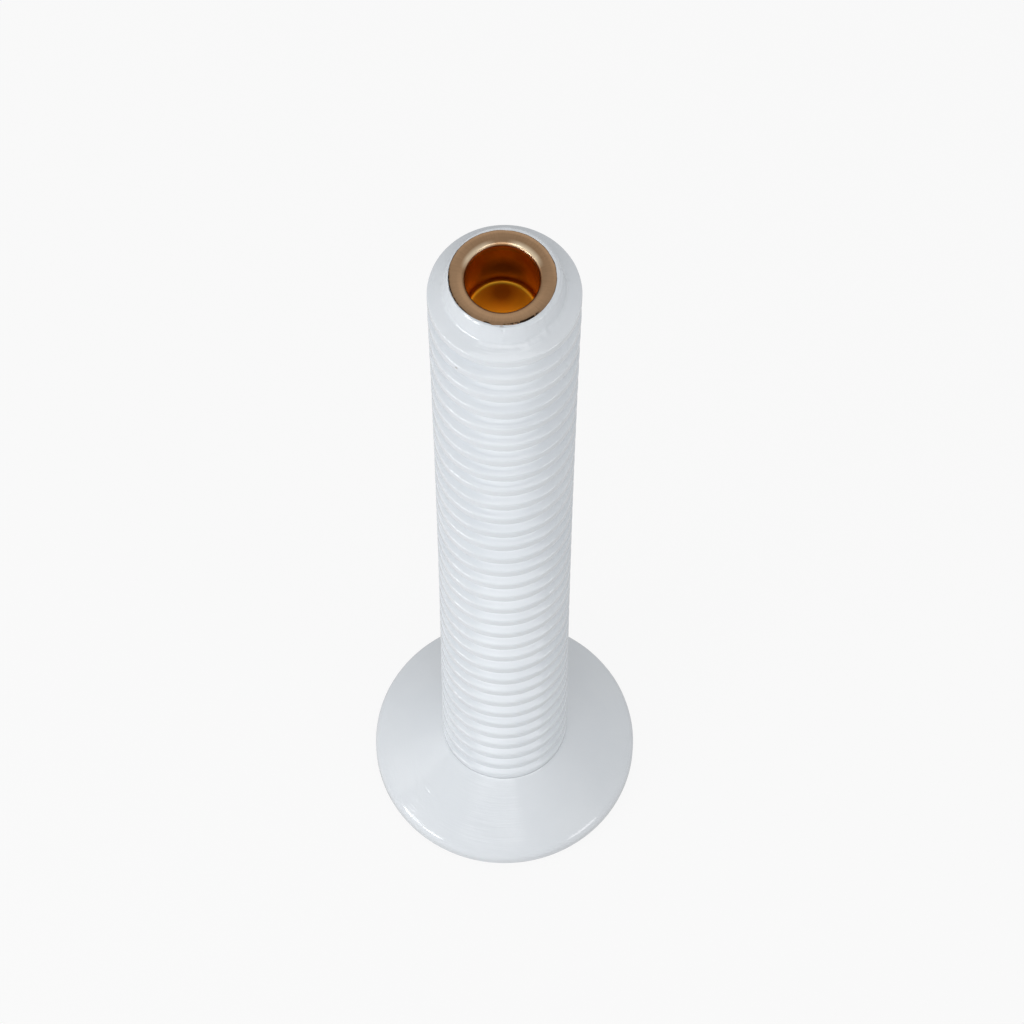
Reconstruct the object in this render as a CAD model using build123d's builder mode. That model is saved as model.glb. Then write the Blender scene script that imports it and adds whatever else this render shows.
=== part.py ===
from build123d import *

import os
from math import pi, sin, tan, radians

# Free-standing candle holder: a turned stem with rings, a conical base and a brass cup.
# Millimetres. +Z is up, the origin is on the table under the stem's axis, and the
# front faces -Y.

# Rings of the stem
ring_count = 33
ringed_length = 329.0           # from the lowest crest up to the shoulder's crest
spacing_arch = 6.94             # three waves in which the turner's spacing wanders from
spacing_sway = 1.19             # even steps: one arch, a full wave, and one and a half
spacing_ripple = 0.9
foot_rim_height = 3.5           # upright rim of the lowest ring, down to the base
ring_rim_height = 3.25          # upright rim of every other ring
ring_roof_angle = 26.0          # slope of a ring's conical top, from level
groove_depth = 3.6              # from the rim to the sharp root of a groove
crest_bevel = 0.55
waist_radius = 21.89            # ring radius where the stem is slimmest
waist_rise = 160.4              # the waist's height above the lowest crest
foot_swell = 0.66               # extra ring radius at the lowest crest

# Shoulder and neck
shoulder_rise = 2.6             # from the shoulder's crest to the foot of the neck
neck_height = 6.4
neck_flare = 1.3                # the neck widens by this much towards its foot
neck_foot_round = 1.4
neck_rim_margin = 0.95          # the neck's rim stands out beyond the brass flange
neck_rim_round = 0.45

# Brass cup
cup_shift = 0.62                # the cup sits this far left of the stem's axis
candle_bore_radius = 11.1
flange_radius = 15.85
sheet_thickness = 0.8
cup_depth = 22.5                # from the flange's top to the cup's floor
lip_round = 2.6                 # rolled edge between flange and wall, on the candle's side
cup_floor_round = 1.6
flange_edge_bevel = 0.25
cup_bore_clearance = 0.05
cup_floor_gap = 0.8             # air under the cup

# Tenon that centres the stem on the base
tenon_radius = 9.0
tenon_length = 9.0
tenon_chamfer = 0.8
mortise_clearance = 0.1
mortise_floor_gap = 0.5

# Base
base_radius = 47.2
base_height = 21.5              # from its underside to the seat of the stem
base_rim_height = 5.1           # up to where the cone would meet the upright rim
base_rim_round = 3.0
base_bottom_bevel = 0.5
base_seat_margin = 0.25         # level seat left outside the stem's foot
counterbore_radius = 9.5
counterbore_depth = 5.0

# Felt under the base
felt_radius = 43.5
felt_standout = 1.0             # how far the felt stands out under the base
felt_recess_depth = 0.5
felt_edge_clearance = 0.3

# Wood screw and its washer
screw_radius = 2.5
screw_reach = 30.0              # how far the screw goes into the stem above the base
screw_tip_length = 4.0
screw_tip_radius = 0.4
screw_hole_clearance = 0.25
pilot_clearance = 0.05
screw_head_radius = 4.8
screw_head_height = 2.6
screw_head_round = 1.2
driver_slot_length = 4.6
driver_slot_width = 1.1
driver_slot_depth = 1.4
washer_radius = 7.5
washer_thickness = 1.2

# Two corners closer than this are the same corner
same_corner = 0.01

# Heights and radii that follow from the sizes above
base_bottom_z = felt_standout
base_shoulder_z = base_bottom_z + base_rim_height
base_top_z = base_bottom_z + base_height
last_crest_z = base_top_z + foot_rim_height
first_crest_z = last_crest_z + ringed_length
waist_z = last_crest_z + waist_rise
neck_foot_z = first_crest_z + shoulder_rise
neck_top_z = neck_foot_z + neck_height
neck_top_radius = flange_radius + neck_rim_margin
neck_foot_radius = neck_top_radius + neck_flare
flange_top_z = neck_top_z + sheet_thickness
cup_floor_z = flange_top_z - cup_depth
cup_wall_radius = candle_bore_radius + sheet_thickness
cup_bore_radius = cup_wall_radius + cup_bore_clearance
cup_bore_depth = cup_depth + cup_floor_gap
lip_back_round = lip_round - sheet_thickness
bore_mouth_chamfer = lip_back_round
tenon_bottom_z = base_top_z - tenon_length
mortise_depth = tenon_length + mortise_floor_gap
felt_top_z = base_bottom_z + felt_recess_depth
washer_top_z = felt_top_z + counterbore_depth
screw_head_top_z = washer_top_z - washer_thickness
screw_head_bottom_z = screw_head_top_z - screw_head_height
screw_tip_z = base_top_z + screw_reach
pilot_radius = screw_radius + pilot_clearance
screw_hole_radius = screw_radius + screw_hole_clearance
cup_axis = Axis((-cup_shift, 0, 0), (0, 0, 1))
cup_plane = Plane(origin=(-cup_shift, 0, 0), x_dir=(1, 0, 0), z_dir=(0, -1, 0))

os.makedirs("parts", exist_ok=True)


def crest_height(ring):
    """Height of a ring's crest, counted from the shoulder (ring 0) down."""
    share = ring / (ring_count - 1)
    wander = spacing_arch * sin(pi * share) + spacing_sway * sin(2 * pi * share)
    wander += spacing_ripple * sin(3 * pi * share)
    return first_crest_z - ringed_length * share - wander


def crest_radius(height):
    """The stem is slimmest at its waist and swells towards both ends."""
    span = (height - waist_z) / waist_rise
    return waist_radius + foot_swell * span**2


def ring_corners(ring, rim_height):
    """Corners of one ring, from the rim's lower edge up to the root of the groove above it."""
    crest_z = crest_height(ring)
    radius = crest_radius(crest_z)
    root_z = crest_z + groove_depth * tan(radians(ring_roof_angle))
    return [(radius, crest_z - rim_height), (radius, crest_z), (radius - groove_depth, root_z)]


def corners_at(profile, places):
    """The vertices of a profile that lie at the given (radius, height) places."""
    spots = [Vector(radius, height) for radius, height in places]
    return [
        vertex
        for vertex in profile.vertices()
        if any((Vector(vertex) - spot).length < same_corner for spot in spots)
    ]


# Stem: a revolved profile of rings and neck, bored for the cup and drilled for the screw
foot_radius = crest_radius(last_crest_z)
shoulder_radius = crest_radius(first_crest_z)
shoulder_corner = (shoulder_radius, first_crest_z)
neck_foot_corner = (neck_foot_radius, neck_foot_z)
neck_top_corner = (neck_top_radius, neck_top_z)
tenon_corner = (tenon_radius, tenon_bottom_z)

stem_outline = [(0, tenon_bottom_z), tenon_corner, (tenon_radius, base_top_z)]
stem_outline += ring_corners(ring_count - 1, foot_rim_height)
for ring in range(ring_count - 2, 0, -1):
    stem_outline += ring_corners(ring, ring_rim_height)
stem_outline += [(shoulder_radius, first_crest_z - ring_rim_height), shoulder_corner]
stem_outline += [neck_foot_corner, neck_top_corner, (0, neck_top_z)]
crest_corners = [(crest_radius(crest_height(ring)), crest_height(ring)) for ring in range(ring_count)]

with BuildPart() as stem:
    with BuildSketch(Plane.XZ) as stem_profile:
        with BuildLine():
            Polyline(*stem_outline, close=True)
        make_face()
        chamfer(corners_at(stem_profile, crest_corners), crest_bevel)
        fillet(corners_at(stem_profile, [neck_foot_corner]), neck_foot_round)
        fillet(corners_at(stem_profile, [neck_top_corner]), neck_rim_round)
        chamfer(corners_at(stem_profile, [tenon_corner]), tenon_chamfer)
    revolve(axis=Axis.Z)
    with Locations((-cup_shift, 0, neck_top_z)):
        Hole(cup_bore_radius, depth=cup_bore_depth)
    neck_top_face = stem.faces().filter_by(Plane.XY).sort_by(Axis.Z)[-1]
    chamfer(neck_top_face.inner_wires()[0].edges(), bore_mouth_chamfer)
    with Locations(Plane((0, 0, tenon_bottom_z), z_dir=(0, 0, -1))):
        Hole(pilot_radius, depth=screw_tip_z - tenon_bottom_z)
stem.part.label = "stem"
export_step(stem.part, "parts/stem.step")

# Base: a shallow cone with a round edge, a mortise above and a counterbore below
base_seat_radius = foot_radius + base_seat_margin
base_outline = [
    (0, base_bottom_z),
    (base_radius, base_bottom_z),
    (base_radius, base_shoulder_z),
    (base_seat_radius, base_top_z),
    (0, base_top_z),
]

with BuildPart() as base:
    with BuildSketch(Plane.XZ) as base_profile:
        with BuildLine():
            Polyline(*base_outline, close=True)
        make_face()
        fillet(corners_at(base_profile, [(base_radius, base_shoulder_z)]), base_rim_round)
        chamfer(corners_at(base_profile, [(base_radius, base_bottom_z)]), base_bottom_bevel)
    revolve(axis=Axis.Z)
    with Locations((0, 0, base_top_z)):
        Hole(tenon_radius + mortise_clearance, depth=mortise_depth)
    with BuildSketch(Plane((0, 0, base_bottom_z))):
        Circle(felt_radius + felt_edge_clearance)
    extrude(amount=felt_recess_depth, mode=Mode.SUBTRACT)
    with Locations(Plane((0, 0, felt_top_z), z_dir=(0, 0, -1))):
        CounterBoreHole(screw_hole_radius, counterbore_radius, counterbore_depth)
base.part.label = "base"
export_step(base.part, "parts/base.step")

# Candle cup: a pressed brass cup with a flat flange and a rolled lip
flange_corner = (flange_radius, flange_top_z)
lip_corner = (candle_bore_radius, flange_top_z)
lip_back_corner = (cup_wall_radius, neck_top_z)
floor_corner = (candle_bore_radius, cup_floor_z)
floor_back_corner = (cup_wall_radius, cup_floor_z - sheet_thickness)
cup_outline = [
    (0, cup_floor_z - sheet_thickness),
    floor_back_corner,
    lip_back_corner,
    (flange_radius, neck_top_z),
    flange_corner,
    lip_corner,
    floor_corner,
    (0, cup_floor_z),
]

with BuildPart() as candle_cup:
    with BuildSketch(cup_plane) as cup_profile:
        with BuildLine():
            Polyline(*cup_outline, close=True)
        make_face()
        fillet(corners_at(cup_profile, [lip_corner]), lip_round)
        fillet(corners_at(cup_profile, [lip_back_corner]), lip_back_round)
        fillet(corners_at(cup_profile, [floor_corner]), cup_floor_round)
        fillet(corners_at(cup_profile, [floor_back_corner]), cup_floor_round + sheet_thickness)
        chamfer(corners_at(cup_profile, [flange_corner]), flange_edge_bevel)
    revolve(axis=cup_axis)
candle_cup.part.label = "candle_cup"
export_step(candle_cup.part, "parts/candle_cup.step")

# Base screw: a pan-headed wood screw that draws the stem down on the base
head_corner = (screw_head_radius, screw_head_bottom_z)
screw_outline = [
    (0, screw_head_bottom_z),
    head_corner,
    (screw_head_radius, screw_head_top_z),
    (screw_radius, screw_head_top_z),
    (screw_radius, screw_tip_z - screw_tip_length),
    (screw_tip_radius, screw_tip_z),
    (0, screw_tip_z),
]

with BuildPart() as base_screw:
    with BuildSketch(Plane.XZ) as screw_profile:
        with BuildLine():
            Polyline(*screw_outline, close=True)
        make_face()
        fillet(corners_at(screw_profile, [head_corner]), screw_head_round)
    revolve(axis=Axis.Z)
    with BuildSketch(Plane((0, 0, screw_head_bottom_z))):
        with PolarLocations(0, 2, angular_range=180):
            Rectangle(driver_slot_length, driver_slot_width)
    extrude(amount=driver_slot_depth, mode=Mode.SUBTRACT)
base_screw.part.label = "base_screw"
export_step(base_screw.part, "parts/base_screw.step")

# Washer between the screw's head and the base
with BuildPart() as screw_washer:
    with BuildSketch(Plane((0, 0, screw_head_top_z))):
        Circle(washer_radius)
        Circle(screw_hole_radius, mode=Mode.SUBTRACT)
    extrude(amount=washer_thickness)
screw_washer.part.label = "screw_washer"
export_step(screw_washer.part, "parts/screw_washer.step")

# Felt pad: the disc that the holder stands on
with BuildPart() as felt_pad:
    with BuildSketch(Plane.XY):
        Circle(felt_radius)
    extrude(amount=felt_top_z)
felt_pad.part.label = "felt_pad"
export_step(felt_pad.part, "parts/felt_pad.step")
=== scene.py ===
import math

import bmesh
import bpy
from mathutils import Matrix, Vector, noise


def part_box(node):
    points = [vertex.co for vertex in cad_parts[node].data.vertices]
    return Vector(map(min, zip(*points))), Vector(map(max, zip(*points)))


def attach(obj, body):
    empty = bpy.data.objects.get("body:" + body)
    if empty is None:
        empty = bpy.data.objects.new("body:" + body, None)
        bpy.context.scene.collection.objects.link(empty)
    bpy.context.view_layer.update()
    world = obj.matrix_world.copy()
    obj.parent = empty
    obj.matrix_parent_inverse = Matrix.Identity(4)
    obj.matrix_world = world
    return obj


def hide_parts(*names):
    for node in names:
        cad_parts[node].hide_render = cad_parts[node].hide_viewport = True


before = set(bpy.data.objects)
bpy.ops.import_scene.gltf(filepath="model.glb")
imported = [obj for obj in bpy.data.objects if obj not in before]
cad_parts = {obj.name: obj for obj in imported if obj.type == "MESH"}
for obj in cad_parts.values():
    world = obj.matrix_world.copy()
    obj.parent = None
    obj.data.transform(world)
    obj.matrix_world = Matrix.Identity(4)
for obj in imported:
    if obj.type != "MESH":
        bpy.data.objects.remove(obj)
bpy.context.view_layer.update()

# Looks of the ringed candle holder. Metres, +Z up, front towards -Y, origin on the table
# under the stem's axis. Sizes are written in millimetres and turned into metres by MM.
MM = 0.001
BODY = "root"
axis_radius = 1e-7               # a radius below this is a point on the axis

# Segments round each piece
large_segments = 288             # the stem and the base
lip_segments = 720
cup_segments = 576
screw_segments = 64
washer_segments = 96
felt_segments = 480

# Sizes that the frame gives
stem_low, stem_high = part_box("stem")
base_low, base_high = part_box("base")
cup_low, cup_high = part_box("candle_cup")
felt_low, felt_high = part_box("felt_pad")
screw_low, screw_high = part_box("base_screw")
washer_low, washer_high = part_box("screw_washer")

neck_top_z = stem_high.z
tenon_bottom_z = stem_low.z
base_top_z = base_high.z
base_bottom_z = base_low.z
base_radius = base_high.x
foot_radius = stem_high.x
flange_top_z = cup_high.z
cup_x = (cup_low.x + cup_high.x) / 2
flange_radius = (cup_high.x - cup_low.x) / 2
felt_radius = felt_high.x
felt_bottom_z = felt_low.z
felt_top_z = felt_high.z
screw_tip_z = screw_high.z
screw_head_z = screw_low.z
screw_head_radius = screw_high.x
washer_radius = washer_high.x

# Rings, in the same steps as the solid stem
ring_count = 33
ringed_length = 329.0 * MM
spacing_arch = 6.94 * MM
spacing_sway = 1.19 * MM
spacing_ripple = 0.9 * MM
foot_rim_height = 3.5 * MM
ring_rim_height = 3.25 * MM
ring_roof_angle = math.radians(26)
groove_depth = 3.6 * MM
waist_rise = 160.4 * MM
foot_swell = 0.66 * MM
waist_radius = foot_radius - foot_swell
lowest_crest_z = base_top_z + foot_rim_height
shoulder_z = lowest_crest_z + ringed_length
waist_z = lowest_crest_z + waist_rise

# Lacquer softens the turned edges and lies a little unevenly
crest_round = 0.8 * MM
rim_foot_round = 0.3 * MM
groove_round = 0.8 * MM
ring_tilt = 0.75 * MM            # the rings near the middle rise a little to the right
ring_waver = 0.05 * MM
ring_lump = 8 * MM
ring_lumps = 3                   # the stem's radius, counted in lumps
base_waver_depth = 0.04 * MM
base_lump = 9 * MM
base_edge_height = 0.5 * MM      # the lowest part of the base's edge stays even

# Shoulder, neck and bore
shoulder_rise = 2.6 * MM
neck_top_radius = flange_radius + 0.95 * MM
neck_foot_radius = neck_top_radius + 1.3 * MM
neck_foot_z = shoulder_z + shoulder_rise
neck_foot_round = 1.4 * MM
neck_rim_round = 0.9 * MM
neck_skin = 0.5 * MM             # what lies deeper than this in the neck stays even
cup_bore_radius = 11.95 * MM
cup_bore_depth = 23.3 * MM
bore_mouth_chamfer = 1.8 * MM
tenon_radius = 9.0 * MM
tenon_chamfer = 0.8 * MM
core_radius = tenon_radius + 1 * MM    # nothing inside this radius is a groove
pilot_radius = 2.55 * MM

# Base
base_rim_height = 5.1 * MM
base_rim_round = 4.0 * MM
base_bottom_round = 0.6 * MM
base_seat_margin = 0.25 * MM
mortise_clearance = 0.1 * MM
mortise_depth = 9.5 * MM
felt_recess_radius = felt_radius + 0.3 * MM
felt_recess_round = 0.15 * MM
counterbore_radius = 9.5 * MM
counterbore_depth = 5.0 * MM
screw_hole_radius = 2.75 * MM
bead_width = 0.3 * MM            # lacquer that fills the joint round the stem's foot
bead_height = 0.3 * MM
bead_sink = 0.05 * MM
bead_tip_round = 0.03 * MM

# Brass cup
candle_bore_radius = 11.1 * MM
sheet_thickness = flange_top_z - neck_top_z
cup_depth = 22.5 * MM
cup_floor_z = flange_top_z - cup_depth
cup_floor_round = 1.6 * MM
cup_out_of_round = 0.06 * MM
cup_oval_turn = 0.7              # radians
lip_round = 2.6 * MM
flange_crown = 0.03 * MM         # the flange is a little domed
flange_crown_inset = 1.1 * MM
flange_crown_round = 9 * MM
flange_edge_z = flange_top_z - 0.16 * MM
flange_edge_round = 0.25 * MM
flange_foot_round = 0.12 * MM
flange_edge_width = 0.4 * MM
mouth_bright_depth = 0.5 * MM    # down to here the mouth has the flange's colour
mouth_dark_depth = 2.2 * MM      # and from here on the wall's
floor_glow_low = 0.3 * MM        # the floor's colour fades up the wall between these
floor_glow_high = 1.5 * MM
roll_inner = 0.7 * MM            # the roll with the painted highlights, out from the bore
roll_outer = 1.8 * MM

# The cup's rolled mouth: how far each corner lies out from the bore and down from the
# flange's top, and its round
mouth_corners = (
    (1.95 * MM, 0.05 * MM, 5.0 * MM),
    (0.45 * MM, 0.4 * MM, 1.9 * MM),
    (-0.18 * MM, 1.1 * MM, 1.5 * MM),
    (-0.26 * MM, 2.0 * MM, 2.0 * MM),
    (0.0, 4.0 * MM, 8.0 * MM),
)

# Chips in the flange's edge: azimuth and width in degrees, and depth
flange_chips = ((-11, 1.1, 0.22 * MM), (-7.6, 0.7, 0.18 * MM), (31, 1.0, 0.12 * MM))

# Lacquer coat of the neck, which laps the flange's edge
neck_coat = 0.4 * MM             # lacquer and filler
neck_swell = 0.05 * MM
seam_sink = 0.1 * MM
lap_crown = 0.06 * MM
lap_crown_outset = 0.35 * MM
lap_crown_round = 0.5 * MM
lap_width = 0.05 * MM
lap_edge_round = 0.05 * MM
lap_edge_rise = 0.02 * MM
lap_foot_rise = 0.01 * MM
flange_gap = 0.04 * MM
flange_gap_depth = 0.1 * MM

# Its unevenness: lumps, a lap that is wider in front and behind, short places in the lap,
# a wavy ridge along the neck's rim, and one drip
lip_lump = 3.2 * MM
slow_share = 0.35                # slower and finer patterns, as shares of the lumps' own pace
fine_share = 2.3
fine_height_share = 0.5
lap_gain = 0.30 * MM
lap_ripple = 0.10 * MM
lap_shorts = ((22, 20, 0.30 * MM), (-10, 3.5, 0.22 * MM))
ledge_height = 1.6 * MM          # over the shoulder and over the neck's foot
neck_foot_out = 0.16 * MM
neck_foot_up = 0.10 * MM
inner_margin = 0.3 * MM          # what lies inside the rim and under the flange's top stays even
flange_margin = 0.05 * MM
ridge_start_share = 0.4
neck_sway = 0.12 * MM
ridge_out = 0.14 * MM
ridge_up = 0.20 * MM
ridge_sway = 0.14 * MM
drip_azimuth = -1.5
drip_width = 2.0
drip_out = 0.15 * MM
drip_fall = 0.7 * MM

# Wood screw and washer
screw_radius = 2.5 * MM
screw_tip_length = 4.0 * MM
screw_tip_radius = 0.4 * MM
screw_head_round = 1.2 * MM
screw_edge_round = 0.2 * MM
screw_head_top_z = washer_low.z
slot_length = 4.6 * MM
slot_width = 1.1 * MM
slot_depth = 1.4 * MM
slot_overrun = 0.5 * MM
slot_mouth_share = 1.05
slot_floor_share = 0.62
thread_start_z = base_top_z - 4.0 * MM
thread_pitch = 2.4 * MM
thread_rows = 10                 # in one pitch
thread_depth = 0.62 * MM
thread_half_share = 0.28         # half a ridge's width, as a share of the pitch
washer_face_round = 0.25 * MM
washer_edge_round = 0.12 * MM

# Felt
felt_lump = 2.2 * MM
felt_fine_share = 3.1
felt_slow_share = 0.4
felt_edge_width = 1 * MM
felt_ragged = 0.30 * MM
felt_overhang = 0.2 * MM
felt_give = 0.22 * MM
felt_upper_skin = 0.2 * MM
felt_foot_round = 0.45 * MM
felt_top_round = 0.15 * MM

# Shifts that keep two patterns of noise from repeating each other
rise_shift = Vector((7, 0, 0))
slow_shift = Vector((0, 0, 4))
fine_shift = Vector((0, 0, 9))
base_shift = Vector((0, 0, 5))

# Colours (linear)
lacquer_low = (0.716, 0.752, 0.790)
lacquer_high = (0.745, 0.778, 0.812)
# dust and painted shade in the roots of the grooves
lacquer_dust_and_shade = (0.60, 0.61, 0.63)
lacquer_nick = (0.42, 0.40, 0.38)
# the flange's brass, painted darker as shade for the dim surroundings it reflects
brass_flange_shaded_low = (0.38, 0.235, 0.132)
brass_flange_shaded_high = (0.435, 0.270, 0.155)
# painted highlights on the roll of the mouth
brass_painted_highlight = (0.97, 0.79, 0.56)
brass_wall = (0.70, 0.29, 0.03)
brass_wall_dark = (0.56, 0.18, 0.014)
brass_floor = (0.82, 0.45, 0.03)
# a stain on the cup's floor, and a painted dark reflection on its rear wall
brass_stain_and_dark_reflection = (0.17, 0.050, 0.006)
# the dark line along the flange's edge
brass_dark_edge = (0.030, 0.018, 0.012)
screw_grey = (0.62, 0.62, 0.64)
washer_grey = (0.60, 0.60, 0.60)
zinc_dull_share = 0.72
felt_dark = (0.035, 0.037, 0.040)
felt_light = (0.16, 0.165, 0.17)

# Gloss
lacquer_ior = 1.62
lacquer_gloss = 0.10
lacquer_gloss_less = 0.02
lacquer_gloss_more = 0.05
brass_roughness = 0.24
brushed_roughness = 0.10
tarnished_roughness = 0.05

# Lumps of the surface patterns
lacquer_cloud = 28 * MM
lacquer_swell = 5 * MM
lacquer_smear = 9 * MM
lacquer_pore = 0.9 * MM
dust_shade_lump = 5 * MM
nick_lump = 2.6 * MM
scratch_lump = 0.6 * MM
tarnish_lump = 6 * MM
dark_edge_lump = 1.1 * MM
zinc_bloom = 1.8 * MM
felt_fibre = 0.35 * MM
felt_tuft = 2.4 * MM

# Fine lines in the surface: spacing and length
lathe_lines = (0.55 * MM, 16 * MM)
drawn_lines = (0.5 * MM, 10 * MM)
steel_lines = (0.25 * MM, 3 * MM)
brush_lines = 300.0              # round the flange

# Depths of the relief
swell_depth = 0.05 * MM
lathe_depth = 0.04 * MM
pore_depth = 0.004 * MM
nick_depth = 0.03 * MM
brush_depth = 0.005 * MM
drawn_depth = 0.003 * MM
steel_line_depth = 0.010 * MM
bloom_depth = 0.008 * MM
tuft_depth = 0.25 * MM
fibre_depth = 0.18 * MM

# How strongly a pattern or a mark shows
nick_strength = 0.6
dust_shade_low = 0.1
dust_shade_high = 0.5
highlight_left_strength = 0.9
rim_line_strength = 0.45
speck_strength = 0.8
stain_and_reflection_strength = 0.85
fibre_share = 0.7
tuft_share = 0.3

# Spans of a noise value that are spread over a range
soft_span = (0.3, 0.7)
firm_span = (0.35, 0.65)

# Widths of the dark line on the flange's edge
rim_front_width = 0.75 * MM
rim_left_width = 0.55 * MM
rim_line_width = 0.3 * MM

# Marks, painted highlights and a painted dark reflection on the surfaces: centre, radius and softness
scratch = ((-14.1 * MM, -17.7 * MM, 342.0 * MM), 0.15 * MM, 0.6 * MM)
speck = ((-5.2 * MM, -1.5 * MM, cup_floor_z), 0.35 * MM, 0.3 * MM)
floor_patch = ((-0.8 * MM, 7.0 * MM, cup_floor_z), 2.0 * MM, 7.0 * MM)
# A painted dark reflection on the middle of the cup's rear wall
wall_dark_reflection = ((cup_x, candle_bore_radius, flange_top_z - 15 * MM), 2.0 * MM, 5.5 * MM)
# Painted highlights: two places on the roll of the cup's mouth
highlight_spot_right = ((cup_x + 7.6 * MM, 9.0 * MM, flange_top_z), 3.4 * MM, 3.5 * MM)
highlight_spot_left = ((cup_x - 8.0 * MM, 8.6 * MM, flange_top_z), 3.4 * MM, 3.5 * MM)
rim_front = ((cup_x + 5.9 * MM, -14.6 * MM, flange_edge_z), 4.6 * MM, 2.0 * MM)
rim_chip = ((cup_x - 4.6 * MM, -15.1 * MM, flange_edge_z), 0.8 * MM, 0.5 * MM)
rim_left = ((cup_x - 12.6 * MM, -5.0 * MM, flange_top_z), 6.0 * MM, 3.0 * MM)


def rounded(corners, steps):
    """A profile of (radius, height, round, shift) corners with each round drawn as an arc."""
    points = []
    for index, (radius, height, corner_round, shift) in enumerate(corners):
        inner = 0 < index < len(corners) - 1
        if not corner_round or not inner:
            points.append((radius, height, shift))
            continue
        corner = Vector((radius, height))
        back = Vector(corners[index - 1][:2]) - corner
        ahead = Vector(corners[index + 1][:2]) - corner
        half_angle = back.angle(ahead) / 2
        reach = min(corner_round / math.tan(half_angle), back.length / 2, ahead.length / 2)
        arc_radius = reach * math.tan(half_angle)
        back.normalize()
        ahead.normalize()
        centre = corner + (back + ahead).normalized() * arc_radius / math.sin(half_angle)
        start = corner + back * reach - centre
        end = corner + ahead * reach - centre
        turn = start.angle_signed(end)
        for step in range(steps + 1):
            swing = -turn * step / steps
            x = start.x * math.cos(swing) - start.y * math.sin(swing)
            y = start.x * math.sin(swing) + start.y * math.cos(swing)
            points.append((centre.x + x, centre.y + y, shift))
    return points


def filled(points, span):
    """The same profile with extra rows, so that no straight run is longer than span."""
    dense = [points[0]]
    for before, after in zip(points, points[1:]):
        runs = max(1, math.ceil(math.hypot(after[0] - before[0], after[1] - before[1]) / span))
        for run in range(1, runs + 1):
            dense.append(tuple(a + (b - a) * run / runs for a, b in zip(before, after)))
    return dense


def lathe(name, profile, around, waver=None, recess=None):
    """Revolves (radius, height, shift) points: a closed loop, or a line from axis to axis."""
    looped = profile[0][0] > 0
    if looped:
        profile = profile[:-1]
    verts, rows, along, sunk = [], [], [], []
    travelled = 0.0
    before = profile[0]
    for point in profile:
        radius, height, shift = point
        travelled += math.hypot(radius - before[0], height - before[1])
        before = point
        steps = around if radius > axis_radius else 1
        rows.append(list(range(len(verts), len(verts) + steps)))
        for step in range(steps):
            angle = 2 * math.pi * step / around
            out, up = waver(angle, radius, height) if waver and steps > 1 else (0.0, 0.0)
            x = shift + (radius + out) * math.cos(angle)
            y = (radius + out) * math.sin(angle)
            verts.append((x, y, height + up))
        along += [travelled] * steps
        sunk += [recess(radius, height) if recess else 0.0] * steps
    mesh = bpy.data.meshes.new(name)
    mesh.from_pydata(verts, [], lathe_faces(rows, around, looped))
    mesh.attributes.new("along", "FLOAT", "POINT").data.foreach_set("value", along)
    mesh.attributes.new("recess", "FLOAT", "POINT").data.foreach_set("value", sunk)
    face_outward(mesh)
    piece = bpy.data.objects.new(name, mesh)
    bpy.context.scene.collection.objects.link(piece)
    return piece


def lathe_faces(rows, around, looped):
    """Faces between neighbouring rows of points, with a fan where a row is one point."""
    faces = []
    for low, high in zip(rows, rows[1:] + rows[:1] if looped else rows[1:]):
        for step in range(around):
            after = (step + 1) % around
            if len(low) == 1:
                faces.append((low[0], high[after], high[step]))
            elif len(high) == 1:
                faces.append((low[step], low[after], high[0]))
            else:
                faces.append((low[step], low[after], high[after], high[step]))
    return faces


def face_outward(mesh):
    outward = bmesh.new()
    outward.from_mesh(mesh)
    bmesh.ops.recalc_face_normals(outward, faces=outward.faces)
    outward.to_mesh(mesh)
    outward.free()
    mesh.shade_smooth()


def turned(name, corners, arc_steps, span, around, **irregular):
    """A lathe piece from its corners, with rounds and rows added."""
    return lathe(name, filled(rounded(corners, arc_steps), span), around, **irregular)


# Ring shapes shared by the stem's profile and its irregularities
def crest_height(ring):
    share = ring / (ring_count - 1)
    wander = spacing_arch * math.sin(math.pi * share) + spacing_sway * math.sin(2 * math.pi * share)
    wander += spacing_ripple * math.sin(3 * math.pi * share)
    return shoulder_z - ringed_length * share - wander


def crest_radius(height):
    span = (height - waist_z) / waist_rise
    return waist_radius + foot_swell * span**2


def groove_root_z(ring):
    """Height of the root of the groove over a ring's crest."""
    return crest_height(ring) + groove_depth * math.tan(ring_roof_angle)


def ring_corners(ring, rim_height):
    crest_z = crest_height(ring)
    radius = crest_radius(crest_z)
    foot_round = rim_foot_round if ring < ring_count - 1 else 0
    return [
        (radius, crest_z - rim_height, foot_round, 0),
        (radius, crest_z, crest_round, 0),
        (radius - groove_depth, groove_root_z(ring), groove_round, 0),
    ]


def groove_share(radius, height):
    """How deep a point of the stem lies in its groove: 0 on a crest, 1 at the root."""
    if radius < core_radius or height > shoulder_z:
        return 0.0
    return min(max((crest_radius(height) - radius) / groove_depth, 0.0), 1.0)


def stem_waver(angle, radius, height):
    """Hand work: rings that lean a little and lacquer that isn't quite even."""
    above = (height - lowest_crest_z) / ringed_length
    if radius < neck_top_radius - neck_skin or above <= 0:
        return 0.0, 0.0
    middle = math.sin(math.pi * min(above, 1))
    x, y = ring_lumps * math.cos(angle), ring_lumps * math.sin(angle)
    spot = Vector((x, y, height / ring_lump))
    out = ring_waver * noise.noise(spot)
    up = ring_tilt * middle * math.cos(angle) + ring_waver * noise.noise(spot + rise_shift)
    return out, up


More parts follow.
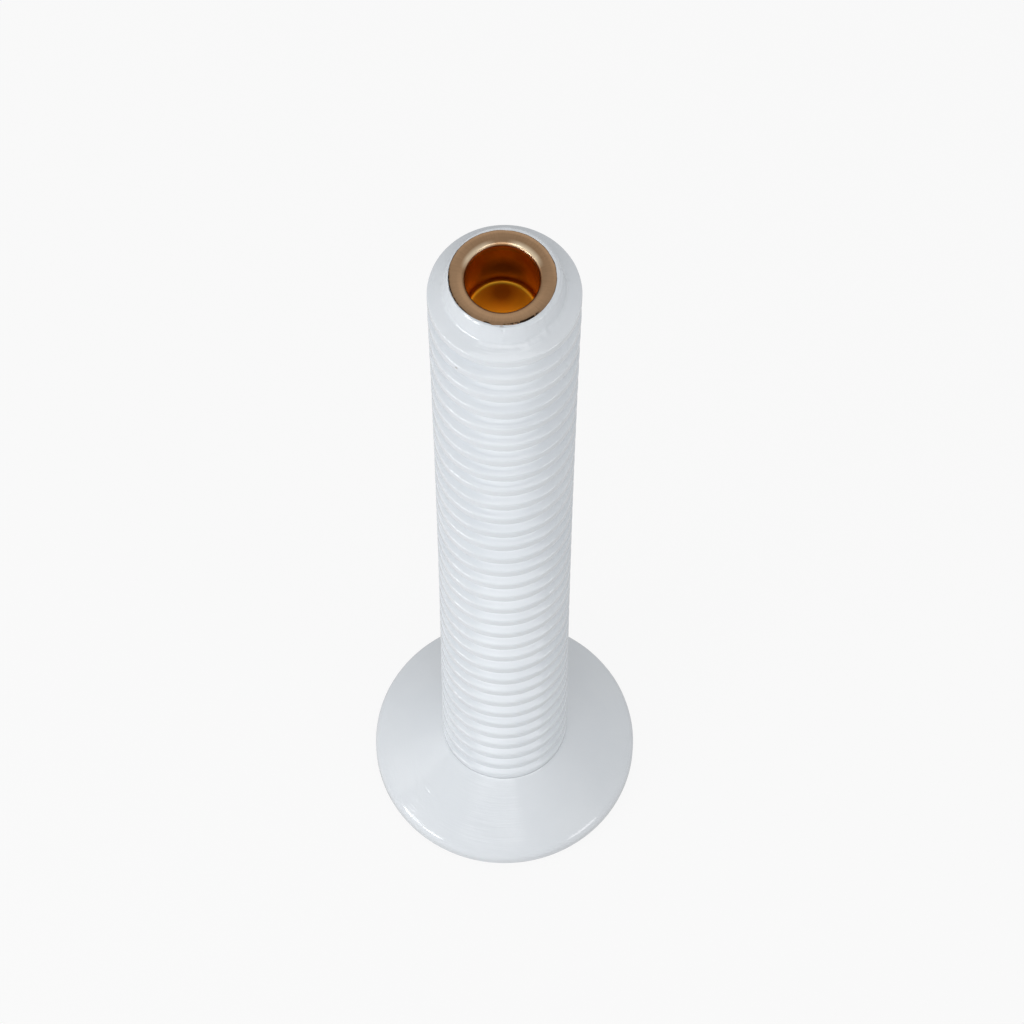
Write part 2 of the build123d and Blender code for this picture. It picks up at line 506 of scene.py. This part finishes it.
def build_stem():
    bore_floor_z = neck_top_z - cup_bore_depth
    corners = [
        (0, screw_tip_z, 0, 0),
        (pilot_radius, screw_tip_z, 0, 0),
        (pilot_radius, tenon_bottom_z, 0, 0),
        (tenon_radius - tenon_chamfer, tenon_bottom_z, 0, 0),
        (tenon_radius, tenon_bottom_z + tenon_chamfer, 0, 0),
        (tenon_radius, base_top_z, 0, 0),
    ]
    corners += ring_corners(ring_count - 1, foot_rim_height)
    for ring in range(ring_count - 2, 0, -1):
        corners += ring_corners(ring, ring_rim_height)
    corners += [
        (foot_radius - groove_depth, shoulder_z - neck_coat, 0, 0),
        (neck_foot_radius - neck_coat, neck_foot_z - neck_coat, 0, 0),
        (neck_top_radius - neck_coat, neck_top_z, 0, 0),
        (cup_bore_radius + bore_mouth_chamfer, neck_top_z, 0, cup_x),
        (cup_bore_radius, neck_top_z - bore_mouth_chamfer, 0, cup_x),
        (cup_bore_radius, bore_floor_z, 0, cup_x),
        (0, bore_floor_z, 0, cup_x),
    ]
    return turned("stem_turned", corners, arc_steps=4, span=2.4 * MM, around=large_segments,
                  waver=stem_waver, recess=groove_share)


def bump_at(angle, centre_degrees, width_degrees):
    """A smooth hill of height 1 at one azimuth; 0 degrees is the front, growing to the right."""
    azimuth = math.degrees(angle) + 90
    apart = (azimuth - centre_degrees + 180) % 360 - 180
    return math.exp(-(apart / width_degrees)**2)


def bumps(angle, places):
    """The sum of smooth hills, each with its azimuth, width and height."""
    return sum(height * bump_at(angle, azimuth, width) for azimuth, width, height in places)


def round_spot(angle, radius, lump):
    """A place round the axis, counted in lumps."""
    return Vector((math.cos(angle), math.sin(angle), 0)) * radius / lump


def lip_waver(angle, radius, height):
    """The thick lacquer of the neck: a wavy ridge, a ragged edge on the brass and one drip."""
    spot = round_spot(angle, neck_top_radius, lip_lump)
    slow = noise.noise(spot * slow_share + slow_shift)
    ripple = noise.noise(spot) + fine_height_share * noise.noise(spot * fine_share + fine_shift)
    if radius < flange_radius and height > flange_edge_z:
        lap = lap_gain * math.sin(angle)**2 + lap_ripple * ripple
        return bumps(angle, lap_shorts) - lap, 0.0
    if height < shoulder_z + ledge_height:
        return stem_waver(angle, radius, height)
    if radius < neck_top_radius - inner_margin and height < flange_top_z - flange_margin:
        return 0.0, 0.0
    if height < neck_foot_z + ledge_height:
        return neck_foot_out * ripple, neck_foot_up * ripple
    drip = bump_at(angle, drip_azimuth, drip_width)
    share = (height - neck_foot_z) / (neck_top_z - neck_foot_z)
    ridge = max(0.0, share - ridge_start_share) / (1 - ridge_start_share)
    out = neck_sway * slow + ridge_out * ripple * ridge + drip_out * drip * (1 - ridge)
    up = ridge * (ridge_up * ripple + ridge_sway * slow - drip_fall * drip)
    return out, up


def build_lip():
    """The lacquer coat of the top ring, shoulder and neck, which laps the brass flange."""
    # The coat ends out of sight, at the root of the first groove
    seam_radius = foot_radius - groove_depth - seam_sink
    seam_z = groove_root_z(1)
    corners = [
        (seam_radius, seam_z, 0, 0),
        (foot_radius, shoulder_z - ring_rim_height, rim_foot_round, 0),
        (foot_radius, shoulder_z, crest_round, 0),
        (neck_foot_radius, neck_foot_z, neck_foot_round, 0),
        (neck_top_radius, neck_top_z + neck_swell, neck_rim_round, 0),
        (flange_radius + lap_crown_outset, flange_top_z + lap_crown, lap_crown_round, cup_x / 2),
        (flange_radius - lap_width, flange_top_z + lap_edge_rise, lap_edge_round, cup_x),
        (flange_radius - lap_width, flange_edge_z + lap_foot_rise, 0, cup_x),
        (flange_radius + flange_gap, flange_edge_z - flange_gap_depth, 0, cup_x),
        (flange_radius + flange_gap, neck_top_z, 0, cup_x),
        (neck_top_radius - neck_coat, neck_top_z, 0, 0),
        (neck_foot_radius - neck_coat, neck_foot_z - neck_coat, 0, 0),
        (seam_radius, shoulder_z - neck_coat, 0, 0),
        (seam_radius, seam_z, 0, 0),
    ]
    return turned("neck_lacquer", corners, arc_steps=6, span=0.8 * MM, around=lip_segments,
                  waver=lip_waver)


def base_waver(angle, radius, height):
    if radius < foot_radius or height < base_bottom_z + base_edge_height:
        return 0.0, 0.0
    spot = round_spot(angle, radius, base_lump)
    return base_waver_depth * noise.noise(spot), base_waver_depth * noise.noise(spot + base_shift)


def build_base():
    bead_radius = foot_radius + base_seat_margin + bead_width
    bead_tip_radius = foot_radius - bead_sink
    mortise_radius = tenon_radius + mortise_clearance
    mortise_floor_z = base_top_z - mortise_depth
    washer_seat_z = felt_top_z + counterbore_depth
    corners = [
        (screw_hole_radius, mortise_floor_z, 0, 0),
        (screw_hole_radius, washer_seat_z, 0, 0),
        (counterbore_radius, washer_seat_z, 0, 0),
        (counterbore_radius, felt_top_z, 0, 0),
        (felt_recess_radius, felt_top_z, 0, 0),
        (felt_recess_radius, base_bottom_z, felt_recess_round, 0),
        (base_radius, base_bottom_z, base_bottom_round, 0),
        (base_radius, base_bottom_z + base_rim_height, base_rim_round, 0),
        (bead_radius, base_top_z - bead_sink, bead_width, 0),
        (bead_tip_radius, base_top_z + bead_height, bead_tip_round, 0),
        (bead_tip_radius, base_top_z, 0, 0),
        (mortise_radius, base_top_z, 0, 0),
        (mortise_radius, mortise_floor_z, 0, 0),
        (screw_hole_radius, mortise_floor_z, 0, 0),
    ]
    return turned("base_turned", corners, arc_steps=8, span=2.0 * MM, around=large_segments,
                  waver=base_waver)


def cup_waver(angle, radius, height):
    """A pressed cup: the wall is a trifle out of round and the flange's edge has small chips."""
    if radius < flange_radius - flange_edge_width:
        share = min(1.0, (flange_top_z - height) / cup_depth)
        return cup_out_of_round * share * math.cos(2 * angle + cup_oval_turn), 0.0
    return -bumps(angle, flange_chips), 0.0


def build_cup():
    underside_z = cup_floor_z - sheet_thickness
    wall_radius = candle_bore_radius + sheet_thickness
    corners = [
        (0, underside_z, 0, cup_x),
        (wall_radius, underside_z, cup_floor_round + sheet_thickness, cup_x),
        (wall_radius, neck_top_z, lip_round - sheet_thickness, cup_x),
        (flange_radius, neck_top_z, flange_foot_round, cup_x),
        (flange_radius, flange_edge_z, flange_edge_round, cup_x),
        (flange_radius - flange_crown_inset, flange_top_z + flange_crown, flange_crown_round, cup_x),
    ]
    for out, down, corner_round in mouth_corners:
        corners.append((candle_bore_radius + out, flange_top_z - down, corner_round, cup_x))
    corners += [
        (candle_bore_radius, cup_floor_z, cup_floor_round, cup_x),
        (0, cup_floor_z, 0, cup_x),
    ]
    return turned("candle_cup_brass", corners, arc_steps=10, span=1.5 * MM, around=cup_segments,
                  waver=cup_waver)


def thread_waver(angle, radius, height):
    """The screw's helical thread, cut down from the full radius of the plain shank."""
    into = (height - thread_start_z) / thread_pitch
    if into < 0:
        return 0.0, 0.0
    phase = (into - angle / (2 * math.pi)) % 1.0
    ridge = max(0.0, 1 - abs(phase - 0.5) / thread_half_share)
    return -thread_depth * min(1.0, into) * (1 - ridge) * min(1.0, radius / screw_radius), 0.0


def build_screw():
    head = [
        (0, screw_head_z, 0, 0),
        (screw_head_radius, screw_head_z, screw_head_round, 0),
        (screw_head_radius, screw_head_top_z, screw_edge_round, 0),
        (screw_radius, screw_head_top_z, screw_edge_round, 0),
        (screw_radius, thread_start_z, 0, 0),
    ]
    point = [
        (screw_radius, thread_start_z, 0),
        (screw_radius, screw_tip_z - screw_tip_length, 0),
        (screw_tip_radius, screw_tip_z, 0),
        (0, screw_tip_z, 0),
    ]
    profile = rounded(head, steps=5)[:-1] + filled(point, thread_pitch / thread_rows)
    screw = lathe("base_screw_threaded", profile, around=screw_segments, waver=thread_waver)
    cut_away(screw, cross_slot_mesh())
    return screw


def cross_slot_mesh():
    """Two crossing slots for the driver, which narrow as they go into the head."""
    slots = bmesh.new()
    outside = screw_head_z - slot_overrun
    deep = screw_head_z + slot_depth
    for quarter in range(2):
        rings = []
        for level, narrow in ((outside, slot_mouth_share), (deep, slot_floor_share)):
            x, y = slot_length / 2 * narrow, slot_width / 2 * narrow
            corners = [(x, y), (-x, y), (-x, -y), (x, -y)]
            if quarter:
                corners = [(-b, a) for a, b in corners]
            rings.append([slots.verts.new((a, b, level)) for a, b in corners])
        for side in range(4):
            after = (side + 1) % 4
            slots.faces.new((rings[0][side], rings[0][after], rings[1][after], rings[1][side]))
        slots.faces.new(reversed(rings[0]))
        slots.faces.new(rings[1])
    bmesh.ops.recalc_face_normals(slots, faces=slots.faces)
    mesh = bpy.data.meshes.new("cross_slot")
    slots.to_mesh(mesh)
    slots.free()
    return mesh


def cut_away(piece, cutter_mesh):
    """Cuts the cutter's shape out of the piece and removes the cutter."""
    cutter = bpy.data.objects.new("cutter", cutter_mesh)
    bpy.context.scene.collection.objects.link(cutter)
    cut = piece.modifiers.new("cut", "BOOLEAN")
    cut.operation = "DIFFERENCE"
    cut.solver = "EXACT"
    cut.use_self = True
    cut.object = cutter
    settled = piece.evaluated_get(bpy.context.evaluated_depsgraph_get())
    plain = piece.data
    piece.data = bpy.data.meshes.new_from_object(settled)
    piece.modifiers.clear()
    bpy.data.meshes.remove(plain)
    bpy.data.objects.remove(cutter)
    bpy.data.meshes.remove(cutter_mesh)


def build_washer():
    corners = [
        (screw_hole_radius, washer_low.z, 0, 0),
        (washer_radius, washer_low.z, washer_face_round, 0),
        (washer_radius, washer_high.z, washer_edge_round, 0),
        (screw_hole_radius, washer_high.z, washer_edge_round, 0),
        (screw_hole_radius, washer_low.z, 0, 0),
    ]
    return turned("screw_washer_pressed", corners, arc_steps=4, span=1.2 * MM, around=washer_segments)


def felt_waver(angle, radius, height):
    """Felt cut by hand: a ragged edge, and a face that gives a little."""
    spot = round_spot(angle, radius, felt_lump)
    ragged, under = 0.0, 0.0
    if radius > felt_radius - felt_edge_width:
        ragged = felt_ragged * (noise.noise(spot) + noise.noise(spot * felt_fine_share))
    if height < felt_top_z - felt_upper_skin:
        under = felt_give * max(0.0, noise.noise(spot * felt_slow_share))
    return min(ragged, felt_overhang), under


def build_felt():
    corners = [
        (0, felt_bottom_z, 0, 0),
        (felt_radius, felt_bottom_z, felt_foot_round, 0),
        (felt_radius, felt_top_z, felt_top_round, 0),
        (0, felt_top_z, 0, 0),
    ]
    return turned("felt_pad_cut", corners, arc_steps=5, span=1.6 * MM, around=felt_segments,
                  waver=felt_waver)


# Materials
def new_material(name):
    material = bpy.data.materials.new(name)
    material.use_nodes = True
    tree = material.node_tree
    return material, tree, tree.nodes["Principled BSDF"]


def add(tree, kind, inputs=None, **settings):
    """A shader node. An input is a value, or the output of another node, which gets linked."""
    made = tree.nodes.new("ShaderNode" + kind)
    for key, value in settings.items():
        setattr(made, key, value)
    for key, value in (inputs or {}).items():
        if isinstance(value, bpy.types.NodeSocket):
            tree.links.new(value, made.inputs[key])
        else:
            made.inputs[key].default_value = value
    return made


def place(tree):
    return add(tree, "TexCoord").outputs["Object"]


def stored(tree, name):
    return add(tree, "Attribute", attribute_name=name).outputs["Fac"]


def times(tree, first, second):
    return add(tree, "Math", {0: first, 1: second}, operation="MULTIPLY").outputs[0]


def plus(tree, first, second):
    return add(tree, "Math", {0: first, 1: second}, operation="ADD").outputs[0]


def either(tree, first, second):
    return add(tree, "Math", {0: first, 1: second}, operation="MAXIMUM").outputs[0]


def noise_at(tree, spot, **inputs):
    return add(tree, "TexNoise", {"Vector": spot, **inputs}).outputs[0]


def grain(tree, size, detail=3.0, roughness=0.5, shift=0.0):
    """Cloudy noise with lumps of one size, in metres."""
    moved = add(tree, "VectorMath", {0: place(tree), 1: (shift, shift, shift)}, operation="ADD")
    return noise_at(tree, moved.outputs[0], Scale=1 / size, Detail=detail, Roughness=roughness)


def turned_lines(tree, spacing, length):
    """Fine lines left by the lathe: spacing apart along the profile, length long round the piece."""
    parts = add(tree, "SeparateXYZ", {0: place(tree)}).outputs
    across = times(tree, stored(tree, "along"), 1 / spacing)
    round_x = times(tree, parts[0], 1 / length)
    round_y = times(tree, parts[1], 1 / length)
    spot = add(tree, "CombineXYZ", {0: round_x, 1: round_y, 2: across}).outputs[0]
    return noise_at(tree, spot, Scale=1.0, Detail=2.0)


def from_cup(tree, level):
    """A place as seen from the cup's axis at one level, and the same place made level."""
    moved = add(tree, "VectorMath", {0: place(tree), 1: (-cup_x, 0, -level)}, operation="ADD")
    flat = add(tree, "VectorMath", {0: moved.outputs[0], 1: (1, 1, 0)}, operation="MULTIPLY")
    return moved.outputs[0], flat.outputs[0]


def length_of(tree, vector):
    return add(tree, "VectorMath", {0: vector}, operation="LENGTH").outputs["Value"]


def from_cup_axis(tree):
    return length_of(tree, from_cup(tree, 0)[1])


def radial_lines(tree, count):
    """Fine lines that run away from the cup's axis on the flange and down its wall."""
    unit_circle = 6.0            # about the length of a circle of radius 1
    paces = 220.0                # changes along a metre of each line
    centred, flat = from_cup(tree, flange_top_z)
    way = add(tree, "VectorMath", {0: flat}, operation="NORMALIZE").outputs[0]
    far = length_of(tree, centred)
    stretched = add(tree, "VectorMath", {0: way, "Scale": count / unit_circle}, operation="SCALE")
    parts = add(tree, "SeparateXYZ", {0: stretched.outputs[0]}).outputs
    slow = times(tree, far, paces)
    spot = add(tree, "CombineXYZ", {0: parts[0], 1: parts[1], 2: slow}).outputs[0]
    return noise_at(tree, spot, Scale=1.0, Detail=3.0)


def ranged(tree, value, low, high, to_low=0.0, to_high=1.0):
    limits = {"From Min": low, "From Max": high, "To Min": to_low, "To Max": to_high}
    return add(tree, "MapRange", {"Value": value, **limits}).outputs[0]


def falling(tree, value, low, high):
    """1 below low, 0 above high."""
    return ranged(tree, value, low, high, 1.0, 0.0)


def blended(tree, share, first, second):
    """Two colours mixed by a share; either may be the output of another node."""
    made = add(tree, "Mix", {0: share}, data_type="RGBA")
    for socket, colour in zip((made.inputs[6], made.inputs[7]), (first, second)):
        if isinstance(colour, bpy.types.NodeSocket):
            tree.links.new(colour, socket)
        else:
            socket.default_value = (*colour, 1)
    return made.outputs[2]


def spot_mask(tree, centre, radius, softness):
    """1 inside a small ball on the surface, 0 outside."""
    apart = add(tree, "VectorMath", {0: place(tree), 1: centre}, operation="DISTANCE")
    return falling(tree, apart.outputs["Value"], radius, radius + softness)


def edge_mask(tree, width):
    """1 on the flange's outer edge."""
    softness = 0.15 * MM
    inner = flange_radius - width
    return ranged(tree, from_cup_axis(tree), inner - softness, inner + softness)


def relief(tree, shader, *layers):
    """Stacks bump layers of (height, depth in metres) on the shader's normal."""
    below = None
    for height, depth in layers:
        inputs = {"Height": height, "Distance": depth, "Strength": 1.0}
        if below:
            inputs["Normal"] = below
        below = add(tree, "Bump", inputs).outputs[0]
    tree.links.new(below, shader.inputs["Normal"])


def lacquer_colour(tree, nicks, shift):
    """A cool white that clouds a little, dust and painted shade in the groove roots, small nicks and
    a scratch.
    """
    clouds = ranged(tree, grain(tree, lacquer_cloud, shift=shift), *firm_span)
    white = blended(tree, clouds, lacquer_low, lacquer_high)
    # Painted shade with dust: patches of the lacquer turn grey towards the roots of the grooves
    root = ranged(tree, stored(tree, "recess"), low=0.80, high=1.0)
    patches = ranged(tree, grain(tree, dust_shade_lump, shift=shift), *soft_span, dust_shade_low, dust_shade_high)
    dusty_and_shaded = blended(tree, times(tree, root, patches), white, lacquer_dust_and_shade)
    broken = ranged(tree, grain(tree, scratch_lump, shift=6.0), low=0.35, high=0.5)
    scratched = times(tree, spot_mask(tree, *scratch), broken)
    nicked = times(tree, nicks, nick_strength)
    return blended(tree, either(tree, nicked, scratched), dusty_and_shaded, lacquer_nick)


def lacquer_material(name, shift):
    """Gloss white lacquer on turned wood."""
    material, tree, shader = new_material(name)
    nick_grain = grain(tree, nick_lump, detail=5.0, roughness=0.7, shift=shift + 3)
    nicks = ranged(tree, nick_grain, low=0.735, high=0.76)
    tree.links.new(lacquer_colour(tree, nicks, shift), shader.inputs["Base Color"])
    lines = turned_lines(tree, *lathe_lines)
    smears = grain(tree, lacquer_smear, shift=shift + 1)
    gloss = ranged(tree, plus(tree, lines, smears), low=0.7, high=1.3,
                   to_low=lacquer_gloss - lacquer_gloss_less,
                   to_high=lacquer_gloss + lacquer_gloss_more)
    tree.links.new(gloss, shader.inputs["Roughness"])
    shader.inputs["IOR"].default_value = lacquer_ior
    swells = grain(tree, lacquer_swell, detail=1.0, shift=shift)
    pores = grain(tree, lacquer_pore, detail=1.0)
    relief(tree, shader, (swells, swell_depth), (lines, lathe_depth), (pores, pore_depth),
           (nicks, -nick_depth))
    return material


def flange_colour(tree, brushing):
    """Brushed brass painted darker as shade, with highlights painted in two places on the roll of the
    mouth.
    """
    # Painted shade: the brushed flange's colour is darkened for the dim surroundings it reflects
    bright = blended(tree, ranged(tree, brushing, *soft_span), brass_flange_shaded_low, brass_flange_shaded_high)
    roll = falling(tree, from_cup_axis(tree), candle_bore_radius + roll_inner,
                   candle_bore_radius + roll_outer)
    left = times(tree, spot_mask(tree, *highlight_spot_left), highlight_left_strength)
    # Painted highlights: the two places on the roll get a bright brass colour
    rubbed = times(tree, roll, either(tree, spot_mask(tree, *highlight_spot_right), left))
    return blended(tree, rubbed, bright, brass_painted_highlight)


def inside_colour(tree, height, tarnish):
    """A drawn wall with a brown patina, and a brighter floor."""
    low = falling(tree, height, cup_floor_z + floor_glow_low, cup_floor_z + floor_glow_high)
    wall = blended(tree, tarnish, brass_wall_dark, brass_wall)
    return blended(tree, low, wall, brass_floor)


def dark_flange_edge(tree):
    """Where the flange's edge is dark: a thin line, wider in front and on the left."""
    dark_arc = either(tree, spot_mask(tree, *rim_front), spot_mask(tree, *rim_chip))
    front = times(tree, dark_arc, edge_mask(tree, rim_front_width))
    left = times(tree, spot_mask(tree, *rim_left), edge_mask(tree, rim_left_width))
    line = times(tree, edge_mask(tree, rim_line_width), rim_line_strength)
    ragged = ranged(tree, grain(tree, dark_edge_lump, shift=4.0), low=0.36, high=0.50)
    return times(tree, either(tree, front, either(tree, line, left)), ragged)


def cup_stains_and_reflection(tree):
    """A stain on the cup's floor and a painted dark reflection on its rear wall."""
    # A stain on the floor, a painted dark reflection on the rear wall, and a speck
    stain_and_reflection = either(tree, spot_mask(tree, *floor_patch), spot_mask(tree, *wall_dark_reflection))
    spot = times(tree, spot_mask(tree, *speck), speck_strength)
    return either(tree, spot, times(tree, stain_and_reflection, stain_and_reflection_strength))


def brass_material():
    """Satin brass: a brushed flange painted darker as shade, two painted highlights on its roll, a
    dark line along its edge, a drawn wall with a brown patina and a painted dark reflection, and a
    stain on the floor.
    """
    material, tree, shader = new_material("satin_brass")
    brushing = radial_lines(tree, brush_lines)
    tarnish = ranged(tree, grain(tree, tarnish_lump, shift=2.0), *soft_span)
    height = add(tree, "SeparateXYZ", {0: place(tree)}).outputs[2]
    inside = falling(tree, height, flange_top_z - mouth_dark_depth, flange_top_z - mouth_bright_depth)
    clean = blended(tree, inside, flange_colour(tree, brushing), inside_colour(tree, height, tarnish))
    edge_darkened = blended(tree, dark_flange_edge(tree), clean, brass_dark_edge)
    marked = blended(tree, cup_stains_and_reflection(tree), edge_darkened, brass_stain_and_dark_reflection)
    tree.links.new(marked, shader.inputs["Base Color"])
    shader.inputs["Metallic"].default_value = 1
    uneven = plus(tree, times(tree, brushing, brushed_roughness),
                  times(tree, tarnish, tarnished_roughness))
    tree.links.new(plus(tree, uneven, brass_roughness), shader.inputs["Roughness"])
    drawn = turned_lines(tree, *drawn_lines)
    relief(tree, shader, (brushing, brush_depth), (drawn, drawn_depth))
    return material


def steel_material(name, bright, shift):
    """Zinc-plated steel: a crystalline bloom, rubbed bright in places."""
    material, tree, shader = new_material(name)
    bloom = grain(tree, zinc_bloom, detail=4.0, roughness=0.65, shift=shift)
    dull = tuple(zinc_dull_share * part for part in bright)
    zinc = blended(tree, ranged(tree, bloom, *firm_span), dull, bright)
    tree.links.new(zinc, shader.inputs["Base Color"])
    shader.inputs["Metallic"].default_value = 1
    rough = ranged(tree, bloom, *soft_span, to_low=0.30, to_high=0.48)
    tree.links.new(rough, shader.inputs["Roughness"])
    lines = turned_lines(tree, *steel_lines)
    relief(tree, shader, (lines, steel_line_depth), (bloom, bloom_depth))
    return material


def felt_material():
    """Pressed wool felt: matted fibres of mixed greys."""
    material, tree, shader = new_material("wool_felt")
    fibres = grain(tree, felt_fibre, detail=6.0, roughness=0.8)
    tufts = grain(tree, felt_tuft, detail=3.0, shift=1.0)
    mixed = plus(tree, times(tree, fibres, fibre_share), times(tree, tufts, tuft_share))
    grey = blended(tree, ranged(tree, mixed, low=0.36, high=0.62), felt_dark, felt_light)
    tree.links.new(grey, shader.inputs["Base Color"])
    rough = ranged(tree, fibres, *soft_span, to_low=0.85, to_high=1.0)
    tree.links.new(rough, shader.inputs["Roughness"])
    shader.inputs["Sheen Weight"].default_value = 0.25
    shader.inputs["Sheen Roughness"].default_value = 0.5
    shader.inputs["Specular IOR Level"].default_value = 0.2
    relief(tree, shader, (tufts, tuft_depth), (fibres, fibre_depth))
    return material


def dress(piece, material, slot, *nodes):
    piece.data.materials.clear()
    piece.data.materials.append(material)
    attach(piece, BODY)
    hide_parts(*nodes)


stem_lacquer = lacquer_material("stem_white_lacquer", shift=0.0)
base_lacquer = lacquer_material("base_white_lacquer", shift=0.5)
screw_zinc = steel_material("screw_zinc", screw_grey, shift=0.0)
washer_zinc = steel_material("washer_zinc", washer_grey, shift=0.3)
dress(build_stem(), stem_lacquer, "stem_lacquer", "stem")
dress(build_lip(), stem_lacquer, "stem_lacquer", "stem")
dress(build_base(), base_lacquer, "base_lacquer", "base")
dress(build_cup(), brass_material(), "brass", "candle_cup")
dress(build_screw(), screw_zinc, "screw_steel", "base_screw")
dress(build_washer(), washer_zinc, "washer_steel", "screw_washer")
dress(build_felt(), felt_material(), "felt", "felt_pad")


# Camera: the photograph's own viewing angle, in pixels of the photograph and metres
image_width = 1024
focal_px = 4126.0
axis_px = 504.52                 # column of the stem's axis in the photograph
raised_px = 0.5
camera_pitch = math.radians(65.2255)
camera_place = (0, -0.559414, 1.415152)
sensor_mm = 36.0


def build_camera():
    data = bpy.data.cameras.new("camera")
    data.sensor_width = sensor_mm
    data.lens = focal_px / image_width * sensor_mm
    data.shift_x = (image_width / 2 - axis_px) / image_width
    data.shift_y = raised_px / image_width
    data.clip_end = 20
    camera = bpy.data.objects.new("camera", data)
    camera.location = camera_place
    camera.rotation_euler = (math.pi / 2 - camera_pitch, 0, 0)
    bpy.context.scene.collection.objects.link(camera)
    bpy.context.scene.camera = camera


# Floor and light, in metres
studio_centre = Vector((0, 0, 0.2))
backdrop_strength = 0.53
floor_half = 3.0
floor_level = -0.1 * MM          # just under the felt
floor_grey = 0.55
floor_roughness = 0.7
floor_seen_share = 0.9           # how white the floor is to the camera and in reflections
floor_mirrored_share = 0.35

# Soft boxes: azimuth from the front, growing to the right, and elevation, in degrees, then
# distance, width, height and watts
soft_boxes = (
    ("key_left", -56, 9, 1.0, 0.50, 0.24, 3.50),
    ("side_left", -92, 25, 1.2, 0.50, 0.40, 0.40),
    ("strip_right", 52, 6, 1.0, 0.36, 0.30, 1.15),
    ("front", -10, 44, 1.28, 0.85, 0.35, 1.35),
    ("top", 2, 56, 1.4, 1.90, 0.32, 3.70),
    ("back", 165, 48, 2.2, 2.40, 1.00, 3.40),
)


def studio_place(azimuth, elevation, distance):
    turn, rise = math.radians(azimuth), math.radians(elevation)
    level = math.cos(rise)
    way = Vector((math.sin(turn) * level, -math.cos(turn) * level, math.sin(rise)))
    return studio_centre + distance * way


def build_soft_box(name, azimuth, elevation, distance, width, height, watts):
    lamp = bpy.data.lights.new(name, "AREA")
    lamp.shape = "RECTANGLE"
    lamp.size = width
    lamp.size_y = height
    lamp.energy = watts
    holder = bpy.data.objects.new(name, lamp)
    holder.location = studio_place(azimuth, elevation, distance)
    holder.rotation_euler = (studio_centre - holder.location).to_track_quat("-Z", "Y").to_euler()
    bpy.context.scene.collection.objects.link(holder)


def floor_material():
    """A grey floor to the light, which looks white to the camera and in reflections."""
    material, tree, shader = new_material("pale_floor")
    shader.inputs["Base Color"].default_value = (floor_grey, floor_grey, floor_grey, 1)
    shader.inputs["Roughness"].default_value = floor_roughness
    white = add(tree, "Emission", {"Strength": 1.0}).outputs[0]
    path = add(tree, "LightPath").outputs
    seen = times(tree, path["Is Camera Ray"], floor_seen_share)
    mirrored = either(tree, path["Is Glossy Ray"], path["Is Transmission Ray"])
    share = either(tree, seen, times(tree, mirrored, floor_mirrored_share))
    mix = add(tree, "MixShader", {0: share, 1: shader.outputs[0], 2: white})
    tree.links.new(mix.outputs[0], tree.nodes["Material Output"].inputs[0])
    return material


def build_floor():
    low, high = -floor_half, floor_half
    corners = [(low, low, floor_level), (high, low, floor_level), (high, high, floor_level),
               (low, high, floor_level)]
    mesh = bpy.data.meshes.new("floor")
    mesh.from_pydata(corners, [], [(0, 1, 2, 3)])
    mesh.materials.append(floor_material())
    floor = bpy.data.objects.new("floor", mesh)
    bpy.context.scene.collection.objects.link(floor)


def build_backdrop():
    world = bpy.data.worlds.new("studio")
    world.use_nodes = True
    backdrop = world.node_tree.nodes["Background"]
    backdrop.inputs["Color"].default_value = (1, 1, 1, 1)
    backdrop.inputs["Strength"].default_value = backdrop_strength
    bpy.context.scene.world = world


build_camera()
build_floor()
for soft_box in soft_boxes:
    build_soft_box(*soft_box)
build_backdrop()
bpy.context.scene.view_settings.view_transform = "Standard"
